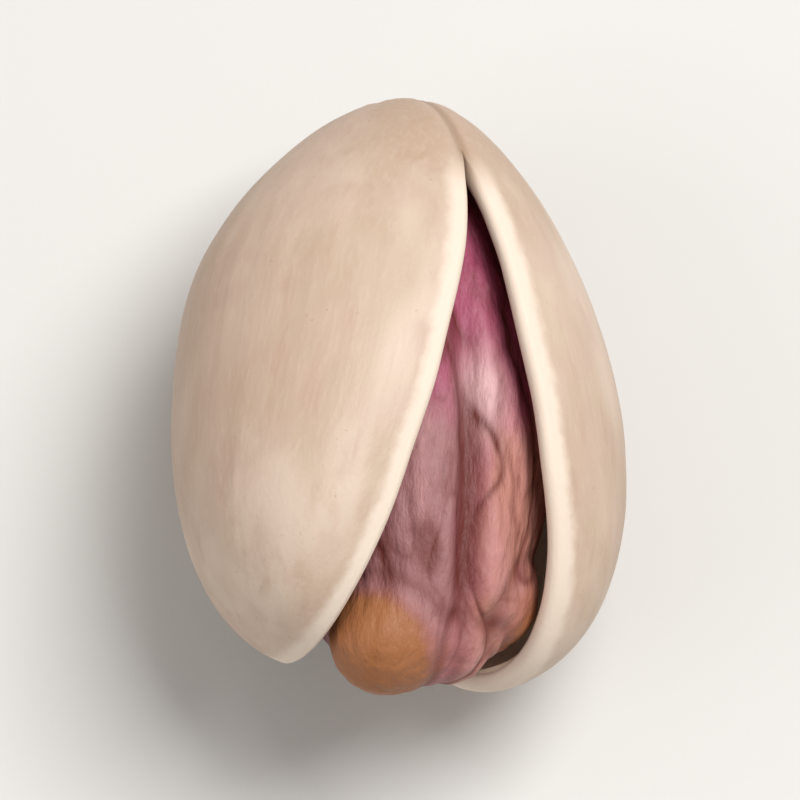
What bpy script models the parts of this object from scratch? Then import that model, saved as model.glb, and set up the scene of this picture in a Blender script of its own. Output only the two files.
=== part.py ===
"""A split pistachio at rest: a shell whose two valves are still joined at the stem end, and the kernel inside it.

It is shaped in the nut's own frame. X runs along the nut from the stem end to the open end, Y runs across it from
the left valve to the right one, and Z points up through the wide split. The suture, where the valves meet, lies in
the XZ plane. The finished nut is then rolled onto the flank of its right valve, so that the split faces up and to
the right, and moved so that the bottom of its box is at Z = 0 and the box is centred above the origin.
"""

import math

import bmesh
import bpy
from mathutils import Matrix, Vector

# The shell as it was before it split, in metres.
LENGTH = 0.0198
SUTURE_HALF_HEIGHT = 0.00675
VALVE_HALF_THICKNESS = 0.00635
WALL = 0.00075
# Each half size follows a power of a sine along the nut, and a lower power makes a blunter end. These are the
# powers at the stem end and at the open end.
ACROSS_BLUNTNESS = (1.2, 1.28)
UPWARD_BLUNTNESS = (0.94, 1.0)
STEM_FULLNESS = 0.02
# The left valve has a fuller shoulder near the stem end: by what share, where along the nut, and over what span.
SHOULDER_FULLNESS = 0.09
SHOULDER_X = 0.0056
SHOULDER_SPAN = 0.0035
# How far the middle of the sections lies above the nut's axis at the stem end and at the open end.
STEM_RISE = 0.0004
TIP_RISE = 0.0013
SCAR_DEPTH = 0.00022
SCAR_RADIUS = 0.0017

# The split. It runs further along the upper suture than along the lower one, and it widens faster near the tips.
UPPER_SPLIT_START = 0.088 * LENGTH
LOWER_SPLIT_START = 0.38 * LENGTH
TIP_HALF_GAP = 0.0036
WIDENING = 1.38
BEND = 0.62

# The kernel.
KERNEL_LENGTH = 0.0188
KERNEL_MIDDLE_X = 0.0119
KERNEL_LEAN = 0.0006
KERNEL_RISE = 0.0005
KERNEL_HALF_HEIGHT = 0.0048
KERNEL_HALF_THICKNESS = 0.0047
KERNEL_ACROSS_BLUNTNESS = (0.9, 1.4)
KERNEL_UPWARD_BLUNTNESS = (0.8, 0.8)
GROOVE_DEPTH = 0.0005
GROOVE_WIDTH = 0.0008
END_NOTCH = 0.0007
RIGHT_LOBE_SHORTER = 0.0011

# How the nut lies, and how much of its flank is flattened where it touches the table.
REST_ROLL = math.radians(-29)
REST_PITCH = math.radians(0)
FLAT_DEPTH = 0.00022

# How finely the surfaces are divided.
STEPS_TO_UPPER_SPLIT = 6
STEPS_TO_LOWER_SPLIT = 6
STEPS_TO_TIP = 14
VALVE_STEPS = 16
KERNEL_RINGS = 26
KERNEL_SEGMENTS = 32

SHELL_COLOUR = (0.62, 0.46, 0.32, 1)
KERNEL_COLOUR = (0.33, 0.11, 0.08, 1)


def clear_scene():
    for obj in list(bpy.data.objects):
        bpy.data.objects.remove(obj)


def material(name, colour, roughness):
    made = bpy.data.materials.new(name)
    made.use_nodes = True
    shader = made.node_tree.nodes["Principled BSDF"]
    shader.inputs["Base Color"].default_value = colour
    shader.inputs["Roughness"].default_value = roughness
    shader.inputs["Metallic"].default_value = 0
    return made


def between(ends, share):
    return ends[0] + (ends[1] - ends[0]) * share


def axis_height(x):
    """The height of the middle of the section at x."""
    share = min(max(x / LENGTH, 0), 1)
    return STEM_RISE * (1 - share) ** 2.5 + TIP_RISE * share**2.5


def closed_point(along, around, inset):
    """A point of the closed shell's right half. along is 0 at the stem end and pi at the tip, around is -pi/2 at the
    lower suture and pi/2 at the upper one, and inset is the depth below the outer skin."""
    x = LENGTH / 2 - (LENGTH / 2 - inset) * math.cos(along)
    share = along / math.pi
    across = math.sin(along) ** between(ACROSS_BLUNTNESS, share) * (1 + STEM_FULLNESS * math.cos(along))
    upward = math.sin(along) ** between(UPWARD_BLUNTNESS, share)
    y = (VALVE_HALF_THICKNESS - inset) * across * math.cos(around)
    z = (SUTURE_HALF_HEIGHT - inset) * upward * math.sin(around) + axis_height(x)
    scar = SCAR_DEPTH * math.exp(-(y**2 + z**2) / SCAR_RADIUS**2) if along < 1 else 0
    return Vector((x + scar, y, z))


def past_split(point):
    """How far along the nut a point is past the start of the split at its height."""
    level = (point.z - axis_height(point.x)) / SUTURE_HALF_HEIGHT
    return point.x - (UPPER_SPLIT_START * (1 + level) + LOWER_SPLIT_START * (1 - level)) / 2


def swung_open(side, point):
    """Where a point of the closed nut goes when its valve swings out: side is -1 for the left valve, 1 for the
    right one. On the sutures the movement starts sharply where the split does, and on the flanks smoothly. The
    left valve's shoulder is filled out on the way."""
    past = past_split(point)
    whole = LENGTH - (UPPER_SPLIT_START + LOWER_SPLIT_START) / 2
    gap = TIP_HALF_GAP * ((past + math.hypot(past, BEND * point.y)) / (2 * whole)) ** WIDENING
    shoulder = 0
    if side == -1:
        shoulder = SHOULDER_FULLNESS * math.exp(-(((point.x - SHOULDER_X) / SHOULDER_SPAN) ** 2))
    return Vector((point.x, side * (point.y * (1 + shoulder) + gap), point.z))


def split_angle(around, inset):
    """The angle along the nut at which a suture starts to open."""
    low, high = 0.1, 3.0
    while high - low > 1e-9:
        middle = (low + high) / 2
        if past_split(closed_point(middle, around, inset)) < 0:
            low = middle
        else:
            high = middle
    return high


def ring_angles(inset):
    """The angles of the rings, with one ring exactly at the start of each split."""
    stops = [0, split_angle(math.pi / 2, inset), split_angle(-math.pi / 2, inset), math.pi]
    steps = [STEPS_TO_UPPER_SPLIT, STEPS_TO_LOWER_SPLIT, STEPS_TO_TIP]
    angles = [0]
    for start, end, count in zip(stops, stops[1:], steps):
        angles += [start + (end - start) * (i + 1) / count for i in range(count)]
    return angles


def skin_grid(mesh, inset):
    """Adds one skin's vertices: grid[side][ring][step]. The valves share the vertices where they are still joined."""
    upper_ring = STEPS_TO_UPPER_SPLIT
    lower_ring = STEPS_TO_UPPER_SPLIT + STEPS_TO_LOWER_SPLIT
    arounds = [math.pi * (i / VALVE_STEPS - 0.5) for i in range(VALVE_STEPS + 1)]
    grid = {-1: [], 1: []}
    for ring, along in enumerate(ring_angles(inset)):
        for side in (-1, 1):
            points = [swung_open(side, closed_point(along, around, inset)) for around in arounds]
            row = [None] * len(points)
            if ring == 0:
                row = [grid[-1][0][0] if side == 1 else mesh.verts.new(points[0])] * len(points)
            elif along == math.pi:
                row = [mesh.verts.new(points[0])] * len(points)
            elif side == 1:
                row[0] = grid[-1][ring][0] if ring <= lower_ring else None
                row[-1] = grid[-1][ring][-1] if ring <= upper_ring else None
            grid[side].append([vert or mesh.verts.new(point) for vert, point in zip(row, points)])
    return grid


def add_face(mesh, corners):
    """A face through the corners, leaving out repeated ones."""
    distinct = list(dict.fromkeys(corners))
    if len(distinct) > 2:
        mesh.faces.new(distinct)


def finish(mesh, name, made_of):
    """Turns a bmesh into a smooth-shaded object whose faces all look outward."""
    bmesh.ops.recalc_face_normals(mesh, faces=mesh.faces)
    data = bpy.data.meshes.new(name)
    mesh.to_mesh(data)
    mesh.free()
    for polygon in data.polygons:
        polygon.use_smooth = True
    obj = bpy.data.objects.new(name, data)
    obj.data.materials.append(made_of)
    bpy.context.scene.collection.objects.link(obj)
    return obj


def flatten_below(mesh, height):
    """Planes the mesh off at this height and closes it with one flat face."""
    everything = mesh.verts[:] + mesh.edges[:] + mesh.faces[:]
    level = Vector((0, 0, height))
    cut = bmesh.ops.bisect_plane(mesh, geom=everything, plane_co=level, plane_no=(0, 0, -1), clear_outer=True)
    loop = [part for part in cut["geom_cut"] if isinstance(part, bmesh.types.BMEdge)]
    bmesh.ops.contextual_create(mesh, geom=loop)


def make_shell(resting):
    mesh = bmesh.new()
    outer = skin_grid(mesh, 0)
    inner = skin_grid(mesh, WALL)
    rings = len(outer[1]) - 1
    for side in (-1, 1):
        for grid in (outer, inner):
            for ring in range(rings):
                here, there = grid[side][ring], grid[side][ring + 1]
                for step in range(VALVE_STEPS):
                    add_face(mesh, (here[step], here[step + 1], there[step + 1], there[step]))
        for seam, first in ((-1, STEPS_TO_UPPER_SPLIT), (0, STEPS_TO_UPPER_SPLIT + STEPS_TO_LOWER_SPLIT)):
            for ring in range(first, rings):
                edge = (outer[side][ring][seam], outer[side][ring + 1][seam])
                add_face(mesh, edge + (inner[side][ring + 1][seam], inner[side][ring][seam]))
    mesh.transform(resting)
    flatten_below(mesh, min(vert.co.z for vert in mesh.verts) + FLAT_DEPTH)
    return finish(mesh, "shell", material("shell", SHELL_COLOUR, 0.5))


def kernel_point(along, around):
    """A point of the kernel's skin. The two seed leaves meet in a groove along its top and bottom, and end in two
    knobs with a notch between them. It leans to the right towards the open end."""
    share = along / math.pi
    across = math.sin(along) ** between(KERNEL_ACROSS_BLUNTNESS, share)
    upward = math.sin(along) ** between(KERNEL_UPWARD_BLUNTNESS, share)
    y = KERNEL_HALF_THICKNESS * across * math.cos(around)
    crease = math.exp(-((y / GROOVE_WIDTH) ** 2))
    z = (KERNEL_HALF_HEIGHT - GROOVE_DEPTH * crease * share) * upward * math.sin(around)
    towards_end = max(-math.cos(along), 0) ** 4
    shorter = RIGHT_LOBE_SHORTER * (1 + math.tanh(y / GROOVE_WIDTH)) / 2
    x = KERNEL_MIDDLE_X - KERNEL_LENGTH / 2 * math.cos(along) - towards_end * (END_NOTCH * crease + shorter)
    return Vector((x, y + KERNEL_LEAN * share**1.5, z + axis_height(x) + KERNEL_RISE))


def make_kernel(resting):
    mesh = bmesh.new()
    arounds = [2 * math.pi * i / KERNEL_SEGMENTS for i in range(KERNEL_SEGMENTS)]
    rows = [[mesh.verts.new(kernel_point(0, 0))] * KERNEL_SEGMENTS]
    for ring in range(1, KERNEL_RINGS):
        rows.append([mesh.verts.new(kernel_point(math.pi * ring / KERNEL_RINGS, around)) for around in arounds])
    rows.append([mesh.verts.new(kernel_point(math.pi, 0))] * KERNEL_SEGMENTS)
    for here, there in zip(rows, rows[1:]):
        for i in range(KERNEL_SEGMENTS):
            add_face(mesh, (here[i - 1], here[i], there[i], there[i - 1]))
    mesh.transform(resting)
    return finish(mesh, "kernel", material("kernel", KERNEL_COLOUR, 0.4))


def settle(objects):
    """Moves the objects together, so that the bottom of their box is at Z = 0 and it is centred above the origin."""
    points = [vert.co for obj in objects for vert in obj.data.vertices]
    low = [min(point[i] for point in points) for i in range(3)]
    high = [max(point[i] for point in points) for i in range(3)]
    shift = Matrix.Translation((-(low[0] + high[0]) / 2, -(low[1] + high[1]) / 2, -low[2]))
    for obj in objects:
        obj.data.transform(shift)


clear_scene()
lying = Matrix.Rotation(REST_PITCH, 4, "Y") @ Matrix.Rotation(REST_ROLL, 4, "X")
settle([make_shell(lying), make_kernel(lying)])
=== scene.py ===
"""A split pistachio lying on a pale floor: its hard shell, and the kernel in it."""

import math

import bmesh
import bpy
import numpy as np
from mathutils import Matrix, Vector, noise


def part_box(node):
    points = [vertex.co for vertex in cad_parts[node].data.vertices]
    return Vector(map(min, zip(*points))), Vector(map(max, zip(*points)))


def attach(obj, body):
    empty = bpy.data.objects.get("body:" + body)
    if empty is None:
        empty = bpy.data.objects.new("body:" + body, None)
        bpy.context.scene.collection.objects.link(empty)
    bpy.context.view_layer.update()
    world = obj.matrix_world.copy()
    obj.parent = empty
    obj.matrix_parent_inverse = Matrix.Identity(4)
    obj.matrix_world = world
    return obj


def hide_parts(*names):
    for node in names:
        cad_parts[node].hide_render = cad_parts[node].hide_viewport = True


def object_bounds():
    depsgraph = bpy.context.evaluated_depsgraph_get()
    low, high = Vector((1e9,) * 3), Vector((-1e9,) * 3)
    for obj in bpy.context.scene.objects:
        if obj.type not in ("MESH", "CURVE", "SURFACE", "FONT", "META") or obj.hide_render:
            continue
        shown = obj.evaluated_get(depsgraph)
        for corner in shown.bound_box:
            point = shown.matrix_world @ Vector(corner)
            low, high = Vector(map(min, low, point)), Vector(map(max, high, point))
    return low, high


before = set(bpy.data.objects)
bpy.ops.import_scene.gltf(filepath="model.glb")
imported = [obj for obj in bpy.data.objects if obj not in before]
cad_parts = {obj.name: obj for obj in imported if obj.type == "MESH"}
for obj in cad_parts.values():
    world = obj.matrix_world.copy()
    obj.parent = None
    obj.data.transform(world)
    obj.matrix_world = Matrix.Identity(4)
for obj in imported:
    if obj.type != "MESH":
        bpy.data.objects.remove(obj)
cad_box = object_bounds()

# ----------------------------------------------------------------------------------------------------------
# Shell. It is the hard, woody fruit stone, and it grew in one piece: two valves meet at a suture that runs
# round the nut, and ripening has split them apart from the open end. They still hold together at the stem
# end, round the scar where the stalk was, and along part of the lower suture. The shell is tan outside and
# cream where it broke, and its flanks are painted browner away from the suture as painted shade.
#
# It is shaped as it was before it split, in millimetres. X runs from the stem end to the open end, Y across
# from the left valve to the right one, Z up through the wide split. Then the valves swing out.

MILLIMETRE = 0.001

LENGTH = 19.8
SUTURE_HALF_HEIGHT = 6.75
VALVE_HALF_THICKNESS = 6.35
WALL = 0.75
# Each half size follows a power of a sine along the nut, and a lower power makes a blunter end. These are the
# powers at the stem end and at the open end.
ACROSS_BLUNTNESS = (1.2, 1.28)
UPWARD_BLUNTNESS = (0.94, 1.0)
STEM_FULLNESS = 0.02
# How far the middle of the sections lies above the nut's axis at the stem end and at the open end.
STEM_RISE = 0.4
TIP_RISE = 1.3
# The left valve has a fuller shoulder near the stem end: by what share, where along the nut, over what span.
SHOULDER_FULLNESS = 0.09
SHOULDER_X = 5.6
SHOULDER_SPAN = 3.5

# The split. It runs further along the upper suture than along the lower one, and widens faster near the tips.
UPPER_SPLIT_START = 0.088 * LENGTH
LOWER_SPLIT_START = 0.38 * LENGTH
TIP_HALF_GAP = 3.6
WIDENING = 1.38
BEND = 0.62
# The broken rims are rounded, a little thinner than the wall, and not quite straight.
RIM_ROUNDING = 0.20
RIM_THINNING = 0.18
RIM_WANDER = 0.10

# The scar of the stalk, an upright oval at the stem end, with wrinkles drawn in round it.
SCAR_HALF_HEIGHT = 1.6
SCAR_HALF_WIDTH = 1.15
SCAR_DEPTH = 0.08
SCAR_EDGE_DEPTH = 0.05

# The outer skin's relief. A lump has a height, a size and a seed. A fibre has a height, how far it is drawn
# out, how closely fibres lie round the nut, and a seed. Where the valves are joined, a ridge follows each
# side of the suture, with a fine line between them.
LUMPS = ((0.06, 5.0, 1), (0.03, 2.2, 2))
FIBRES = ((0.016, 7, 9, 3), (0.010, 4, 21, 4))
RIDGE_HEIGHT = 0.03
RIDGE_PLACE = 0.6
RIDGE_WIDTH = 0.35
SUTURE_DEPTH = 0.06
SUTURE_WIDTH = 0.22

# How the nut lies, and how much of its flank is flattened where it touches the table.
REST_ROLL = math.radians(-29)
FLAT_DEPTH = 0.22

# How finely the shell is divided: rings up to the upper split, on to the lower split, and on to the tip.
SHELL_RINGS = (28, 32, 140)
OUTER_STEPS = 150
INNER_STEPS = 36
RIM_STEPS = 9


def between(ends, share):
    """The value at this share of the way from the stem end's value to the open end's."""
    return ends[0] + (ends[1] - ends[0]) * share


def smooth_step(low, high, value):
    """0 below low, 1 above high, and smooth between them."""
    share = np.clip((value - low) / (high - low), 0, 1)
    return share * share * (3 - 2 * share)


def grain(x, y, z, size, seed):
    """Smooth noise between about -1 and 1, in lumps of this size. The arrays give where it is read."""
    points = np.stack(np.broadcast_arrays(x, y, z), axis=-1).reshape(-1, 3) / size + seed * 17.3
    values = np.fromiter((noise.noise(point) for point in points.tolist()), float, len(points))
    return values.reshape(np.broadcast(x, y, z).shape)


def axis_height(x):
    """The height of the middle of the nut's section at x."""
    share = np.clip(x / LENGTH, 0, 1)
    return STEM_RISE * (1 - share) ** 2.5 + TIP_RISE * share**2.5


def half_sizes(along, depth):
    """Half the thickness and height of the closed shell's section, this deep below its outer skin."""
    share = along / math.pi
    sine = np.maximum(np.sin(along), 1e-9)
    across = sine ** between(ACROSS_BLUNTNESS, share) * (1 + STEM_FULLNESS * np.cos(along))
    upward = sine ** between(UPWARD_BLUNTNESS, share)
    return (VALVE_HALF_THICKNESS - depth) * across, (SUTURE_HALF_HEIGHT - depth) * upward


def closed_shell(along, around, depth):
    """A point of the closed shell's right half: along is 0 at the stem end and pi at the tip, around is -pi/2
    at the lower suture and pi/2 at the upper one."""
    x = LENGTH / 2 - (LENGTH / 2 - depth) * np.cos(along)
    half_thickness, half_height = half_sizes(along, depth)
    return x, half_thickness * np.cos(around), half_height * np.sin(around) + axis_height(x)


def past_split(x, z):
    """How far along the nut a point is past the start of the split at its height."""
    level = (z - axis_height(x)) / SUTURE_HALF_HEIGHT
    return x - (UPPER_SPLIT_START * (1 + level) + LOWER_SPLIT_START * (1 - level)) / 2


def swing_out(x, y, z):
    """How far a valve has moved out from the suture: sharply from the start of the split on the sutures, and
    smoothly on the flanks."""
    past = past_split(x, z)
    whole = LENGTH - (UPPER_SPLIT_START + LOWER_SPLIT_START) / 2
    return TIP_HALF_GAP * ((past + np.hypot(past, BEND * y)) / (2 * whole)) ** WIDENING


def split_angle(around, depth):
    """The angle along the nut at which a suture starts to open."""
    low, high = 0.1, 3.0
    while high - low > 1e-9:
        middle = (low + high) / 2
        x, y, z = closed_shell(middle, around, depth)
        low, high = (middle, high) if past_split(x, z) < 0 else (low, middle)
    return high


def ring_angles(depth):
    """The rings' angles along the nut, with a ring exactly where each suture starts to open."""
    stops = (0, split_angle(math.pi / 2, depth), split_angle(-math.pi / 2, depth), math.pi)
    spans = zip(stops, stops[1:], SHELL_RINGS)
    return np.concatenate([[0], *[np.linspace(start, end, count + 1)[1:] for start, end, count in spans]])


def valve_loop():
    """One turn round a valve's section: outer skin, upper rim, inner skin, lower rim. It gives each point's
    share of the wall's depth, its share of the way from the lower suture to the upper one, and how far its
    rim is rounded."""
    skin = np.linspace(0, 1, OUTER_STEPS + 1)
    rim = np.linspace(0, 1, RIM_STEPS + 1)[1:-1]
    lining = np.linspace(1, 0, INNER_STEPS + 1)
    depth = np.concatenate([0 * skin, rim, 0 * lining + 1, 1 - rim])
    upward = np.concatenate([skin, 0 * rim + 1, lining, 0 * rim])
    return depth, upward, np.abs(2 * depth - 1) ** 3


def mesh_object(name, points, faces):
    """A smooth-shaded object from points in millimetres."""
    mesh = bpy.data.meshes.new(name)
    mesh.from_pydata((points * MILLIMETRE).tolist(), [], faces.tolist())
    mesh.polygons.foreach_set("use_smooth", [True] * len(mesh.polygons))
    obj = bpy.data.objects.new(name, mesh)
    bpy.context.scene.collection.objects.link(obj)
    return obj


def store(obj, name, values):
    """Keeps a number or a vector for each point, for the material to read."""
    kind = "FLOAT_VECTOR" if values.ndim == 2 else "FLOAT"
    attribute = obj.data.attributes.new(name, kind, "POINT")
    attribute.data.foreach_set("vector" if values.ndim == 2 else "value", values.astype(np.float32).ravel())


def shell_relief(x, y, z, open_here):
    """How far the outer skin stands out from the smooth closed shape, and where the scar and its edge are."""
    off_middle = np.hypot(y, z + 1e-9)
    angle_y, angle_z = y / off_middle, z / off_middle
    relief = sum(height * grain(x, y, z, size, seed) for height, size, seed in LUMPS)
    for height, stretch, count, seed in FIBRES:
        relief += height * grain(x / stretch, angle_y * count, angle_z * count, 1, seed)
    ridges = RIDGE_HEIGHT * np.exp(-(((np.abs(y) - RIDGE_PLACE) / RIDGE_WIDTH) ** 2))
    suture = ridges - SUTURE_DEPTH * np.exp(-((y / SUTURE_WIDTH) ** 2))
    off_axis = z - STEM_RISE
    edge = np.hypot(y / SCAR_HALF_WIDTH, off_axis / SCAR_HALF_HEIGHT)
    edge = edge * (1 + 0.16 * grain(x * 0, angle_y * 1.6, angle_z * 1.6, 1, 5)) + (x > LENGTH / 3) * 9
    scar = 1 - smooth_step(0.80, 1.05, edge)
    crack = np.exp(-(((edge - 1.0) / 0.12) ** 2)) * (0.6 + 0.6 * grain(x, y, z, 0.8, 10))
    wrinkles = 0.015 * grain(edge * 0.4, angle_y * 5, angle_z * 5, 1, 6) * smooth_step(0.9, 1.1, edge)
    wrinkles = wrinkles * (1 - smooth_step(1.3, 2.1, edge))
    floor_of_scar = 0.03 * grain(x, y, z, 0.5, 7) - SCAR_DEPTH * (1 - np.clip(edge, 0, 1) ** 2)
    relief += suture * (1 - open_here) * (1 - scar) + scar * floor_of_scar
    return relief + wrinkles - SCAR_EDGE_DEPTH * crack, scar, crack


def make_shell():
    """The shell's points, its faces, and what each point keeps for the material."""
    wall_share, upward, roundness = valve_loop()
    outer_rings, inner_rings = ring_angles(0), ring_angles(WALL)
    along = outer_rings[:, None] + (inner_rings - outer_rings)[:, None] * wall_share
    rim_distance = (1 - np.abs(2 * upward - 1)) * math.pi / 2 * VALVE_HALF_THICKNESS
    thinning = RIM_THINNING * np.exp(-((rim_distance / 2) ** 2)) * smooth_step(0.6, 1.2, along)
    x, y, z = closed_shell(along, math.pi * (upward - 0.5), WALL * wall_share * (1 - thinning))
    open_here = smooth_step(0, 2.5, past_split(x, z))
    y = np.hypot(y, RIM_ROUNDING * open_here * roundness)
    gap = swing_out(x, y, z)
    row = np.arange(len(along))[:, None]
    upper_rings, lower_rings = SHELL_RINGS[0], SHELL_RINGS[0] + SHELL_RINGS[1]
    joined = ((upward == 1) & (row <= upper_rings)) | ((upward == 0) & (row <= lower_rings))
    y, gap = np.where(joined, 0, y), np.where(joined, 0, gap)
    half_length = LENGTH / 2
    slope = np.stack(
        [(x - half_length) / half_length**2, y / VALVE_HALF_THICKNESS**2, z / SUTURE_HALF_HEIGHT**2]
    )
    slope /= np.maximum(np.linalg.norm(slope, axis=0), 1e-9)
    wander = RIM_WANDER * grain(x, 0 * x, np.sign(upward - 0.5) * 4 + 0 * x, 3.0, 8)
    wander *= open_here * np.exp(-((y / 2.5) ** 2)) * (1 - smooth_step(LENGTH - 3, LENGTH - 0.5, x))
    points, kept = [], []
    for side, shoulder in ((-1, SHOULDER_FULLNESS), (1, 0)):
        fuller = 1 + shoulder * np.exp(-(((x - SHOULDER_X) / SHOULDER_SPAN) ** 2))
        relief, scar, crack = shell_relief(x, side * y, z, open_here)
        relief = relief * (1 - wall_share) + 0.03 * grain(x, side * y, z, 1.2, 9) * wall_share
        across = side * (y * fuller + slope[1] * relief + gap) + wander
        moved = np.stack([x + slope[0] * relief, across, z + slope[2] * relief])
        points.append(moved.reshape(3, -1).T)
        grown = np.stack([x, side * y, z]).reshape(3, -1).T
        kept.append((grown, *[field.ravel() for field in (y, open_here, wall_share + 0 * y, scar, crack)]))
    rings, steps = y.shape
    ring, step = np.meshgrid(np.arange(rings - 1), np.arange(steps), indexing="ij")
    upper = (step >= OUTER_STEPS) & (step < OUTER_STEPS + RIM_STEPS)
    lower = step >= OUTER_STEPS + RIM_STEPS + INNER_STEPS
    solid = ~(upper & (ring < upper_rings)) & ~(lower & (ring < lower_rings))
    here = ring * steps + step
    beside = ring * steps + (step + 1) % steps
    quads = np.stack([here, beside, beside + steps, here + steps], axis=-1)[solid]
    faces = np.concatenate([quads, quads[:, ::-1] + rings * steps])
    return np.concatenate(points), faces, [np.concatenate(fields) for fields in zip(*kept)]


def lie_down(points):
    """Rolls the nut onto its right flank."""
    return points @ np.array(Matrix.Rotation(REST_ROLL, 3, "X")).T


def close_up(obj):
    """Joins points that lie together, drops the slivers that this leaves, and turns every face outward."""
    mesh = bmesh.new()
    mesh.from_mesh(obj.data)
    bmesh.ops.remove_doubles(mesh, verts=mesh.verts, dist=2e-7)
    bmesh.ops.dissolve_degenerate(mesh, edges=mesh.edges, dist=1e-7)
    bmesh.ops.recalc_face_normals(mesh, faces=mesh.faces)
    mesh.to_mesh(obj.data)
    mesh.free()


shell_points, shell_faces, shell_fields = make_shell()
shell_points = lie_down(shell_points)
shell_low, shell_high = (np.array(corner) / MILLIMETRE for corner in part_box("shell"))
shell_points[:, 2] = np.maximum(shell_points[:, 2], shell_points[:, 2].min() + FLAT_DEPTH)
place = (shell_low + shell_high - shell_points.min(0) - shell_points.max(0)) / 2
place[2] = shell_low[2] - shell_points[:, 2].min()
shell = mesh_object("pistachio_shell", shell_points + place, shell_faces)
SHELL_FIELDS = ("grown", "from_suture", "split", "wall_depth", "scar", "scar_edge")
for field_name, values in zip(SHELL_FIELDS, shell_fields):
    store(shell, field_name, values)
close_up(shell)


class Shade:
    """A socket of a material, used in sums as if it were a number. Every sum adds its Math nodes."""

    def __init__(self, finish, socket):
        self.finish = finish
        self.socket = socket

    def maths(self, operation, *values):
        return self.finish.node("Math", {"operation": operation}, dict(enumerate(values)))

    def __add__(self, other):
        return self.maths("ADD", self, other)

    def __sub__(self, other):
        return self.maths("SUBTRACT", self, other)

    def __rsub__(self, other):
        return self.maths("SUBTRACT", other, self)

    def __mul__(self, other):
        return self.maths("MULTIPLY", self, other)

    __radd__ = __add__
    __rmul__ = __mul__


class Finish:
    """A material while it is being made. Its nodes' outputs are Shades."""

    def __init__(self, name):
        self.material = bpy.data.materials.new(name)
        self.material.use_nodes = True
        self.tree = self.material.node_tree
        self.shader = self.tree.nodes["Principled BSDF"]

    def node(self, kind, settings, sockets, output=0):
        """Adds a node of this kind, settings first, then what its sockets hold or are linked to."""
        made = self.tree.nodes.new("ShaderNode" + kind)
        for key, value in settings.items():
            setattr(made, key, value)
        for key, value in sockets.items():
            if isinstance(value, Shade):
                self.tree.links.new(value.socket, made.inputs[key])
            else:
                made.inputs[key].default_value = value
        return Shade(self, made.outputs[output])

    def field(self, name, vector=False):
        """What the mesh keeps for each point under this name."""
        return self.node("Attribute", {"attribute_name": name}, {}, "Vector" if vector else "Fac")

    def noise(self, place, scale, detail=3, roughness=0.55, distortion=0):
        """Soft noise between 0 and 1, with this many lumps to a millimetre."""
        sockets = {"Vector": place, "Scale": scale, "Detail": detail}
        sockets.update({"Roughness": roughness, "Distortion": distortion})
        return self.node("TexNoise", {"noise_dimensions": "3D"}, sockets)

    def stretched(self, place, by):
        """The place, with each direction scaled: a small number draws a pattern out along that direction."""
        return self.node("VectorMath", {"operation": "MULTIPLY"}, {0: place, 1: by})

    def step(self, value, low, high):
        """0 below low, 1 above high, and smooth between them."""
        sockets = {"Value": value, "From Min": low, "From Max": high}
        return self.node("MapRange", {"interpolation_type": "SMOOTHSTEP"}, sockets)

    def mix(self, mask, first, second):
        """The first colour where the mask is 0, and the second where it is 1."""
        return self.node("Mix", {"data_type": "RGBA"}, {"Factor": mask, 6: first, 7: second}, 2)

    def set(self, **values):
        """Sets the shader's own sockets, or links them."""
        for key, value in values.items():
            socket = self.shader.inputs[key.replace("_", " ")]
            if isinstance(value, Shade):
                self.tree.links.new(value.socket, socket)
            else:
                socket.default_value = value

    def bump(self, height, strength, distance):
        """Roughens the surface where the height changes. The distance is in metres."""
        sockets = {"Strength": strength, "Distance": distance, "Height": height}
        self.set(Normal=self.node("Bump", {}, sockets))


SHELL_TAN = (0.515, 0.38, 0.275, 1)
SHELL_PALE = (0.63, 0.495, 0.39, 1)
SHELL_BROWN = (0.30, 0.185, 0.11, 1)
# A deep brown of the nut's own at the stem end and in streaks; on the flanks it is painted shade.
BROWN_AND_FLANK_SHADE = (0.40, 0.235, 0.15, 1)
SHELL_ROSY = (0.55, 0.40, 0.315, 1)
RIM_CREAM = (0.77, 0.64, 0.525, 1)
LINING_CREAM = (0.68, 0.52, 0.37, 1)
SCAR_TAN = (0.50, 0.36, 0.235, 1)

woody = Finish("shell")
grown = woody.field("grown", vector=True)
along_grain = woody.stretched(grown, (0.16, 1, 1))
from_suture = woody.field("from_suture")
split = woody.field("split")
broad = woody.noise(woody.stretched(grown, (0.35, 1, 1)), 0.30, detail=2)
streaks = woody.noise(along_grain, 1.3, detail=4, roughness=0.6, distortion=0.3)
fine_streaks = woody.noise(along_grain, 5.5, detail=3)
specks = woody.noise(grown, 6.0, detail=2)
stem_nearness = 1 - woody.step(woody.node("SeparateXYZ", {}, {"Vector": grown}, "X"), 0.5, 6.5)
colour = woody.mix(woody.step(broad, 0.38, 0.62), SHELL_TAN, SHELL_PALE)
colour = woody.mix(woody.step(woody.noise(grown, 0.35, detail=2), 0.46, 0.62) * 0.6, colour, SHELL_ROSY)
# Painted shade: the flanks far from the suture are painted browner.
colour = woody.mix(woody.step(from_suture, 3.0, 6.6) * 0.42, colour, BROWN_AND_FLANK_SHADE)
colour = woody.mix(stem_nearness * 0.35, colour, BROWN_AND_FLANK_SHADE)
colour = woody.mix(woody.step(streaks, 0.48, 0.75) * 0.30, colour, BROWN_AND_FLANK_SHADE)
colour = woody.mix(woody.step(fine_streaks, 0.45, 0.75) * 0.25, colour, SHELL_PALE)
colour = woody.mix(woody.step(specks, 0.70, 0.78) * 0.45, colour, SHELL_BROWN)
scar = woody.field("scar")
suture_line = (1 - woody.step(from_suture, 0.05, 0.3)) * (1 - split) * (1 - scar)
colour = woody.mix(suture_line * 0.6, colour, SHELL_BROWN)
fibre_ends = woody.step(woody.noise(grown, 2.6, detail=3), 0.42, 0.62)
colour = woody.mix(scar * 0.8, colour, woody.mix(fibre_ends, SHELL_BROWN, SCAR_TAN))
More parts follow.
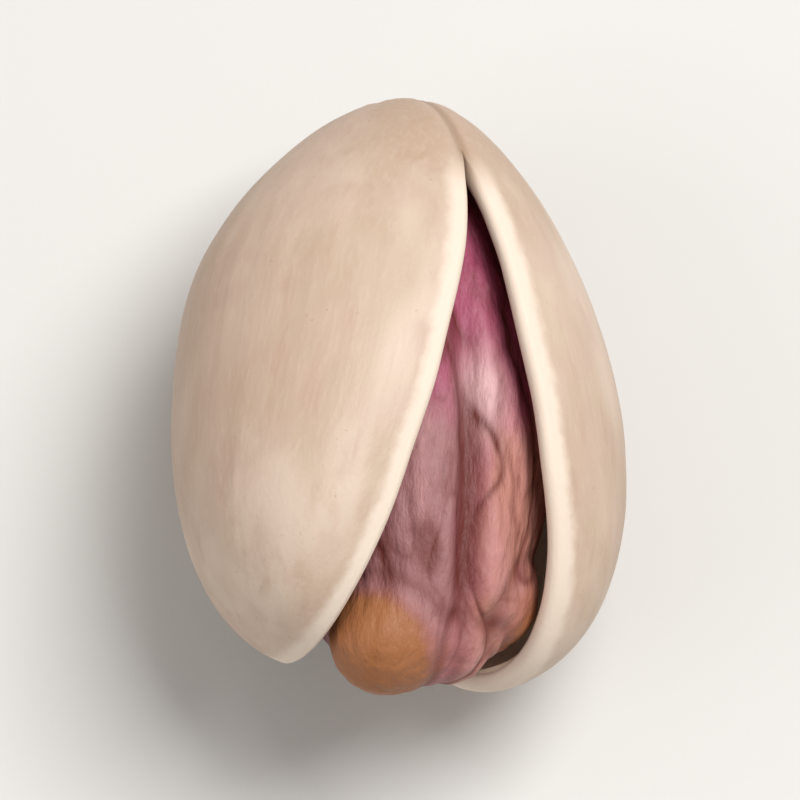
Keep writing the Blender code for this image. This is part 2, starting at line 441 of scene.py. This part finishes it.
colour = woody.mix(woody.field("scar_edge") * 0.6, colour, SHELL_BROWN)
lining = woody.step(woody.field("wall_depth"), 0.90, 1.0)
colour = woody.mix(lining, colour, LINING_CREAM)
ragged = from_suture + (woody.noise(grown, 1.6, detail=4) - 0.5) * 0.45
broken = split * (1 - woody.step(ragged, 0.45, 0.95)) * (1 - lining * 0.7)
colour = woody.mix(broken, colour, RIM_CREAM)
woody.set(Base_Color=colour, Roughness=0.42 + fine_streaks * 0.16 + broken * 0.15)
woody.bump(fine_streaks * 0.6 + specks * 0.4, 0.35, 0.00006)
shell.data.materials.append(woody.material)
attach(shell, "root")
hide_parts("shell")

# ----------------------------------------------------------------------------------------------------------
# Kernel. It is the seed: two seed leaves pressed together, in a thin skin that has dried on them in wrinkles
# along its length. The skin is rose purple, greyer and browner in patches, and orange brown on the two knobs
# at the open end. Its creases, its groove and the furrows round its knobs are painted darker as shade, and
# its raised folds and a patch on top are painted lighter as highlights. It lies a little short of the stem
# end, and sticks out between the tips of the valves.

KERNEL_LENGTH = 18.2
KERNEL_MIDDLE_X = 11.6
KERNEL_HALF_HEIGHT = 4.9
KERNEL_HALF_THICKNESS = 4.75
KERNEL_ACROSS_BLUNTNESS = (0.9, 1.35)
KERNEL_UPWARD_BLUNTNESS = (0.8, 0.8)
# How far its open end leans to the right, and how far it all lies above the middle of the shell.
KERNEL_LEAN = 0.6
KERNEL_RISE = 0.5
# The groove between the two leaves, the notch where it meets the open end, and by how much the right leaf is
# the shorter one.
GROOVE_OFFSET = -0.1
GROOVE_DEPTH = 1.1
GROOVE_WIDTH = 0.5
END_NOTCH = 0.7
RIGHT_LOBE_SHORTER = 1.1
# The ends of the two leaves, and the ridge between them: each a centre and a radius.
LEFT_KNOB = ((19.1, -1.35, 2.75), 1.85)
RIGHT_KNOB = ((17.3, 2.5, 2.8), 1.6)
RIDGE = ((18.9, 0.95, 2.8), 1.3)
KNOBS = (LEFT_KNOB, RIGHT_KNOB, RIDGE)
KNOB_BLEND = 1.1
# The skin's points are found by going inward to this core, from this far outside the body, step by step. Each
# step is this share of the distance that is left.
KERNEL_CORE = (KERNEL_MIDDLE_X, 0, KERNEL_RISE + 0.5)
FURTHEST_KNOB = 3
KNOB_STEPS = 70
STEP_SHARE = 0.8
# The skin's relief: the height and size of its folds, of the wrinkles in them and of the fine crinkle. Folds
# and wrinkles are drawn out along the kernel and bend sideways. There is a furrow round each knob, and the
# skin as a whole has shrunk a little.
FOLD_HEIGHT = 0.30
FOLD_SIZE = 2.1
WRINKLE_HEIGHT = 0.12
WRINKLE_SIZE = 1.0
CRINKLE_HEIGHT = 0.05
CRINKLE_SIZE = 0.40
CREASE_WIDTH = 0.07
FOLD_BEND = 0.7
FOLD_BEND_SIZE = 3.2
LENGTHWISE_STRETCH = 2.6
KNOB_EDGE_DEPTH = 0.08
SKIN_SHRINKAGE = 0.10
# The relief stands out from an ellipsoid as wide and high as the kernel. This is its middle's height and its
# half length.
RELIEF_MIDDLE_Z = 0.9
RELIEF_HALF_LENGTH = 8.8
# A painted highlight, a paler patch on top: where it is along and across the kernel, and half its length and
# width.
HIGHLIGHT_PATCH = (11.1, 0.6, 1.5, 0.9)
KERNEL_RINGS = 300
KERNEL_SEGMENTS = 310


def smooth_least(first, second, blend):
    """The smaller of two distances, rounded off where they come within this blend of each other."""
    near = np.clip(1 - np.abs(first - second) / blend, 0, 1)
    return np.minimum(first, second) - near * near * blend / 4


def kernel_body(along, around):
    """The kernel without its knobs, and how strongly the groove between the two leaves is painted dark as
    shade.
    """
    share = along / math.pi
    sine = np.maximum(np.sin(along), 0)
    y = KERNEL_HALF_THICKNESS * sine ** between(KERNEL_ACROSS_BLUNTNESS, share) * np.cos(around)
    groove = np.exp(-(((y - GROOVE_OFFSET) / GROOVE_WIDTH) ** 2))
    upward = sine ** between(KERNEL_UPWARD_BLUNTNESS, share)
    height = (KERNEL_HALF_HEIGHT - GROOVE_DEPTH * groove * share) * upward
    towards_end = np.maximum(-np.cos(along), 0) ** 4
    shorter = RIGHT_LOBE_SHORTER * (1 + np.tanh(y / GROOVE_WIDTH)) / 2
    x = KERNEL_MIDDLE_X - KERNEL_LENGTH / 2 * np.cos(along) - towards_end * (END_NOTCH * groove + shorter)
    z = height * np.sin(around) + axis_height(x) + KERNEL_RISE
    # Painted shade for the groove, strongest along its middle stretch.
    groove_shade = groove * smooth_step(0.4, 0.6, share) * (1 - 0.8 * smooth_step(0.72, 0.82, share))
    return np.stack([x, y + KERNEL_LEAN * share**1.5, z]), groove_shade


def add_knobs(points):
    """Moves the points out from the kernel's middle until they clear the knobs as well. It also gives how far
    each knob stands out from all the rest there: above 0 on the knob, and below 0 off it."""
    core = np.array(KERNEL_CORE)[:, None, None]
    middles = [np.array(place)[:, None, None] for place, radius in KNOBS]
    radii = [radius for place, radius in KNOBS]
    ray = points - core
    body = np.linalg.norm(ray, axis=0)
    ray = ray / body
    reach = body + FURTHEST_KNOB
    for _ in range(KNOB_STEPS):
        here = core + ray * reach
        away = [np.linalg.norm(here - middle, axis=0) - radius for middle, radius in zip(middles, radii)]
        surface = reach - body
        for distance in away:
            surface = smooth_least(surface, distance, KNOB_BLEND)
        reach = reach - surface * STEP_SHARE
    leads = []
    for distance in away:
        rest = [other for other in away if other is not distance]
        leads.append(np.minimum.reduce([reach - body, *rest]) - distance)
    return core + ray * reach, leads


def make_kernel():
    """The kernel's points, its faces, and what each point keeps for the material."""
    along = np.linspace(0, math.pi, KERNEL_RINGS + 1)[:, None]
    around = np.linspace(0, 2 * math.pi, KERNEL_SEGMENTS, endpoint=False)[None, :]
    points, groove = kernel_body(along, around)
    points, leads = add_knobs(points)
    x, y, z = points
    bend = FOLD_BEND * grain(x, y, z, FOLD_BEND_SIZE, 11)
    folds = grain(x / LENGTHWISE_STRETCH, y + bend, z + bend, FOLD_SIZE, 12)
    wrinkles = grain(x / LENGTHWISE_STRETCH, y + bend, z, WRINKLE_SIZE, 13)
    crinkle = grain(x / 2.2, y, z, CRINKLE_SIZE, 14)
    knobs = np.maximum(smooth_step(-0.7, 0.9, leads[0]), 0.8 * smooth_step(-0.6, 0.8, leads[1]))
    # Painted shade: where the creases between the folds are painted dark.
    crease_shade = np.exp(-((folds / CREASE_WIDTH) ** 2))
    crease_shade += 0.5 * np.exp(-((wrinkles / CREASE_WIDTH) ** 2)) * (1 - knobs)
    # The furrow round each knob: it sinks the skin, and it is also painted dark as shade.
    around_knobs = sum(np.exp(-(((lead + 0.45) / 0.30) ** 2)) for lead in leads) * (x > KERNEL_MIDDLE_X)
    relief = FOLD_HEIGHT * np.abs(folds) ** 0.8 + WRINKLE_HEIGHT * np.abs(wrinkles) ** 0.8
    relief = relief * (1 - 0.6 * knobs) + CRINKLE_HEIGHT * crinkle
    relief -= SKIN_SHRINKAGE + KNOB_EDGE_DEPTH * around_knobs
    from_middle = (x - KERNEL_MIDDLE_X, y, z - RELIEF_MIDDLE_Z)
    half_sizes_here = (RELIEF_HALF_LENGTH, KERNEL_HALF_THICKNESS, KERNEL_HALF_HEIGHT)
    slope = np.stack([distance / half**2 for distance, half in zip(from_middle, half_sizes_here)])
    slope /= np.maximum(np.linalg.norm(slope, axis=0), 1e-9)
    moved = points + slope * relief
    ring, segment = np.meshgrid(np.arange(KERNEL_RINGS), np.arange(KERNEL_SEGMENTS), indexing="ij")
    here = ring * KERNEL_SEGMENTS + segment
    beside = ring * KERNEL_SEGMENTS + (segment + 1) % KERNEL_SEGMENTS
    faces = np.stack([here, beside, beside + KERNEL_SEGMENTS, here + KERNEL_SEGMENTS], axis=-1).reshape(-1, 4)
    # Painted highlight: how much lighter the raised folds are painted.
    fold_highlight = np.abs(folds) + 0.4 * np.abs(wrinkles)
    patch_x, patch_y, half_length, half_width = HIGHLIGHT_PATCH
    # Painted highlight: the paler patch on top.
    pale = np.exp(-(((x - patch_x) / half_length) ** 2) - ((y - patch_y) / half_width) ** 2) * (z > 0)
    masks = (fold_highlight, crease_shade, knobs, around_knobs, groove, pale)
    fields = [points.reshape(3, -1).T, *[mask.ravel() for mask in masks]]
    return moved.reshape(3, -1).T, faces, fields


kernel_points, kernel_faces, kernel_fields = make_kernel()
kernel = mesh_object("pistachio_kernel", lie_down(kernel_points) + place, kernel_faces)
KERNEL_FIELDS = ("grown", "fold_highlight", "crease_shade", "knobs", "around_knobs", "groove", "pale")
for field_name, values in zip(KERNEL_FIELDS, kernel_fields):
    store(kernel, field_name, values)
close_up(kernel)

SKIN_ROSE = (0.36, 0.072, 0.135, 1)
SKIN_PINK_AND_FOLD_HIGHLIGHT = (0.56, 0.26, 0.26, 1)
SKIN_HIGHLIGHT = (0.74, 0.46, 0.46, 1)
SKIN_DARK_AND_CREASE_SHADE = (0.13, 0.026, 0.020, 1)
SKIN_LILAC = (0.33, 0.165, 0.155, 1)
SKIN_SALMON = (0.46, 0.20, 0.155, 1)
KNOB_OCHRE = (0.33, 0.125, 0.038, 1)
KNOB_RED_BROWN = (0.30, 0.095, 0.050, 1)

skin = Finish("kernel")
grown = skin.field("grown", vector=True)
lengthwise = skin.stretched(grown, (0.35, 1, 1))
fold_highlight = skin.field("fold_highlight")
crease_shade = skin.field("crease_shade")
wandering = skin.noise(grown, 0.45, detail=3) * 4 - 2
along_kernel = skin.node("SeparateXYZ", {}, {"Vector": grown}, "X") + wandering
across_kernel = skin.node("SeparateXYZ", {}, {"Vector": grown}, "Y") + wandering * 0.4
open_half = skin.step(along_kernel, 10.0, 13.0)
colour = skin.mix(open_half * skin.step(across_kernel, -0.2, 1.4), SKIN_ROSE, SKIN_SALMON)
colour = skin.mix(open_half * (1 - skin.step(across_kernel, -0.6, 1.0)) * 0.85, colour, SKIN_LILAC)
# Painted highlight: the raised folds are painted pinker.
colour = skin.mix(skin.step(fold_highlight, 0.25, 0.75) * 0.42, colour, SKIN_PINK_AND_FOLD_HIGHLIGHT)
colour = skin.mix(skin.step(skin.noise(lengthwise, 1.2, detail=3), 0.55, 0.72) * 0.4, colour, SKIN_PINK_AND_FOLD_HIGHLIGHT)
# Painted highlight: a paler patch on top.
colour = skin.mix(skin.field("pale") * 0.95, colour, SKIN_HIGHLIGHT)
colour = skin.mix(skin.step(skin.noise(lengthwise, 3.0, detail=4), 0.5, 0.75) * 0.35, colour, SKIN_DARK_AND_CREASE_SHADE)
# Painted shade: the creases between the folds are painted dark.
colour = skin.mix(crease_shade * 0.7, colour, SKIN_DARK_AND_CREASE_SHADE)
blotches = skin.noise(grown, 0.9, detail=3) - 0.5
knobs = skin.field("knobs") + blotches * 0.6
knob_colour = skin.mix(skin.step(knobs, 0.55, 0.95), KNOB_RED_BROWN, KNOB_OCHRE)
colour = skin.mix(skin.step(knobs, 0.15, 0.95) * 0.9, colour, knob_colour)
# Painted shade: the furrows round the knobs are painted dark.
colour = skin.mix(skin.field("around_knobs") * 0.45, colour, SKIN_DARK_AND_CREASE_SHADE)
# Painted shade: the groove between the two leaves is painted dark.
colour = skin.mix(skin.field("groove") * 0.95, colour, SKIN_DARK_AND_CREASE_SHADE)
fine_wrinkles = skin.noise(lengthwise, 4.5, detail=4)
skin.set(Base_Color=colour, Roughness=0.40 + fine_wrinkles * 0.2, Specular_IOR_Level=0.3)
skin.bump(fine_wrinkles, 0.7, 0.00013)
kernel.data.materials.append(skin.material)
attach(kernel, "root")
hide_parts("kernel")

# ----------------------------------------------------------------------------------------------------------
# Floor. A plain pale tabletop with a matt painted surface, wide enough to fill the view. The nut lies on it
# by the flattened spot of its right flank. From here on, sizes are in metres.

FLOOR_HALF_WIDTH = 0.6

floor_mesh = bpy.data.meshes.new("floor")
corners = [(x * FLOOR_HALF_WIDTH, y * FLOOR_HALF_WIDTH, 0) for x, y in ((-1, -1), (1, -1), (1, 1), (-1, 1))]
floor_mesh.from_pydata(corners, [], [(0, 1, 2, 3)])
floor = bpy.data.objects.new("floor", floor_mesh)
bpy.context.scene.collection.objects.link(floor)
pale = Finish("floor")
pale.set(Base_Color=(0.66, 0.645, 0.62, 1), Roughness=0.7)
floor_mesh.materials.append(pale.material)

# ----------------------------------------------------------------------------------------------------------
# Light. One broad soft lamp stands above and to the right, and a weaker one to the left fills the shadows.
# The surround is even and pale.

target = (Vector(cad_box[0]) + Vector(cad_box[1])) / 2


def soft_lamp(name, direction, distance, size, watts):
    """A square lamp in this direction from the nut, turned towards it."""
    data = bpy.data.lights.new(name, "AREA")
    data.shape = "SQUARE"
    data.size = size
    data.energy = watts
    lamp = bpy.data.objects.new(name, data)
    lamp.location = target + Vector(direction).normalized() * distance
    lamp.rotation_euler = (target - lamp.location).to_track_quat("-Z", "Y").to_euler()
    bpy.context.scene.collection.objects.link(lamp)


soft_lamp("main_lamp", (-0.25, 0.38, 1.0), 0.30, 0.16, 0.95)
soft_lamp("fill_lamp", (0.3, -1.0, 0.8), 0.35, 0.25, 0.25)
world = bpy.data.worlds.new("surround")
world.use_nodes = True
world.node_tree.nodes["Background"].inputs["Color"].default_value = (1.0, 0.98, 0.96, 1)
world.node_tree.nodes["Background"].inputs["Strength"].default_value = 0.38
bpy.context.scene.world = world
bpy.context.scene.view_settings.view_transform = "Standard"

# ----------------------------------------------------------------------------------------------------------
# Camera. It looks steeply down on the nut from the open end's side, through a long lens. The width of its
# view is measured at the nut.

CAMERA_AZIMUTH = math.radians(91)
CAMERA_ELEVATION = math.radians(75)
CAMERA_DISTANCE = 0.42
VIEW_WIDTH = 0.0265
SENSOR_WIDTH = 36

camera_data = bpy.data.cameras.new("camera")
camera_data.sensor_width = SENSOR_WIDTH
camera_data.lens = SENSOR_WIDTH * CAMERA_DISTANCE / VIEW_WIDTH
camera_data.clip_start = 0.01
camera = bpy.data.objects.new("camera", camera_data)
back = Vector(
    (
        math.sin(CAMERA_AZIMUTH) * math.cos(CAMERA_ELEVATION),
        -math.cos(CAMERA_AZIMUTH) * math.cos(CAMERA_ELEVATION),
        math.sin(CAMERA_ELEVATION),
    )
)
camera.location = target + back * CAMERA_DISTANCE
camera.rotation_euler = (-back).to_track_quat("-Z", "Y").to_euler()
bpy.context.scene.collection.objects.link(camera)
bpy.context.scene.camera = camera
